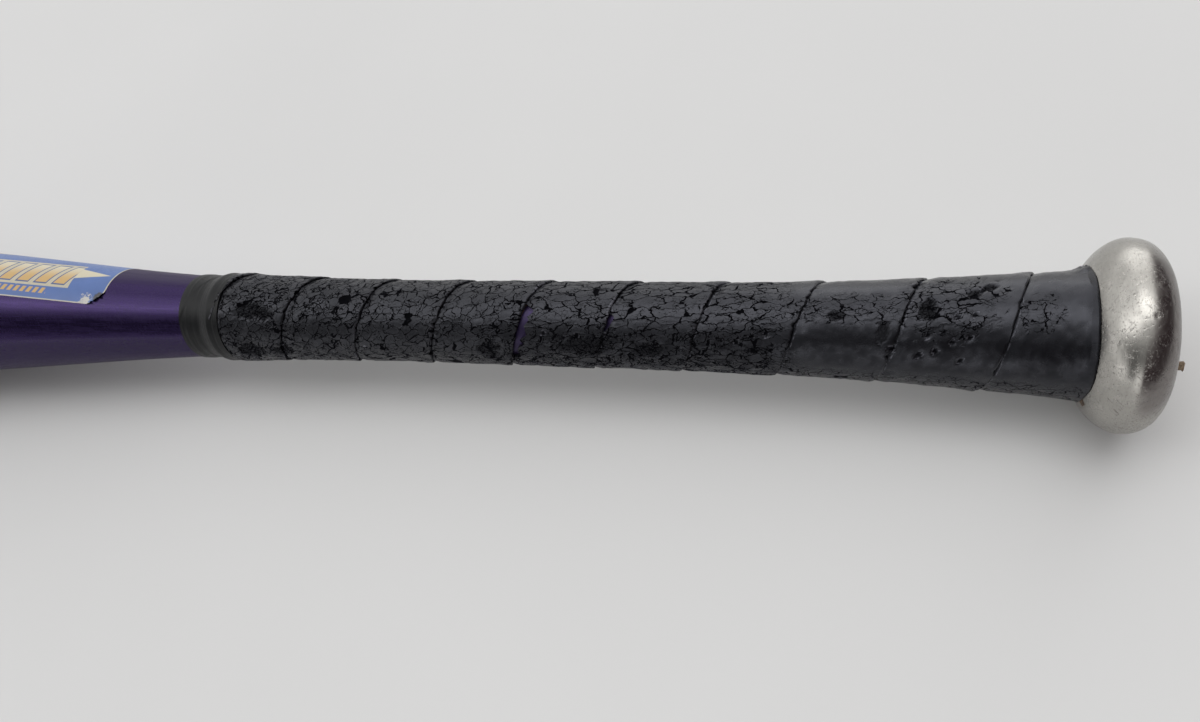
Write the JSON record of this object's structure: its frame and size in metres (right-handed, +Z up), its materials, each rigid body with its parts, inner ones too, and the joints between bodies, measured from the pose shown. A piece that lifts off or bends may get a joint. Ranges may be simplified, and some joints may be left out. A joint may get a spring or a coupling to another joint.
{
  "type": "baseball bat",
  "caption": "Aluminium baseball bat with a flared knob, a spiral-wound black grip, a smooth tape collar, a purple tapered barrel and a plugged end.",
  "frame": {"origin": "centre of the knob's end face, on the bat's axis", "axes": "+X along the bat's axis from the knob towards the barrel end, +Z up, +Y completes a right-handed frame; the bat lies level on its side"},
  "size_m": [0.8406, 0.0666, 0.0666],
  "materials": {
    "purple_paint": "metallic purple lacquer over aluminium, fine scratches",
    "bare_aluminium": "worn satin, scratched",
    "weld_metal": "as welded",
    "cork": "raw",
    "damper_foam": "closed-cell foam",
    "adhesive_tape": "tacky film",
    "grip_leather": "synthetic leather, cracked and polished by wear",
    "vinyl_tape": "smooth vinyl",
    "label_print": "printed film, scuffed",
    "cap_rubber": "moulded",
    "sealant": "cured adhesive",
    "cap_foam": "cut foam"
  },
  "bodies": {
    "root": {"bat_tube": "purple_paint", "knob": "bare_aluminium", "knob_weld": "weld_metal", "knob_plug": "cork", "handle_damper": "damper_foam", "grip_tape": "adhesive_tape", "grip_strip": "grip_leather", "finishing_tape": "vinyl_tape", "taper_decal": "label_print", "end_cap": "cap_rubber", "cap_sealant": "sealant", "cap_foam": "cap_foam"}
  },
  "joints": []
}
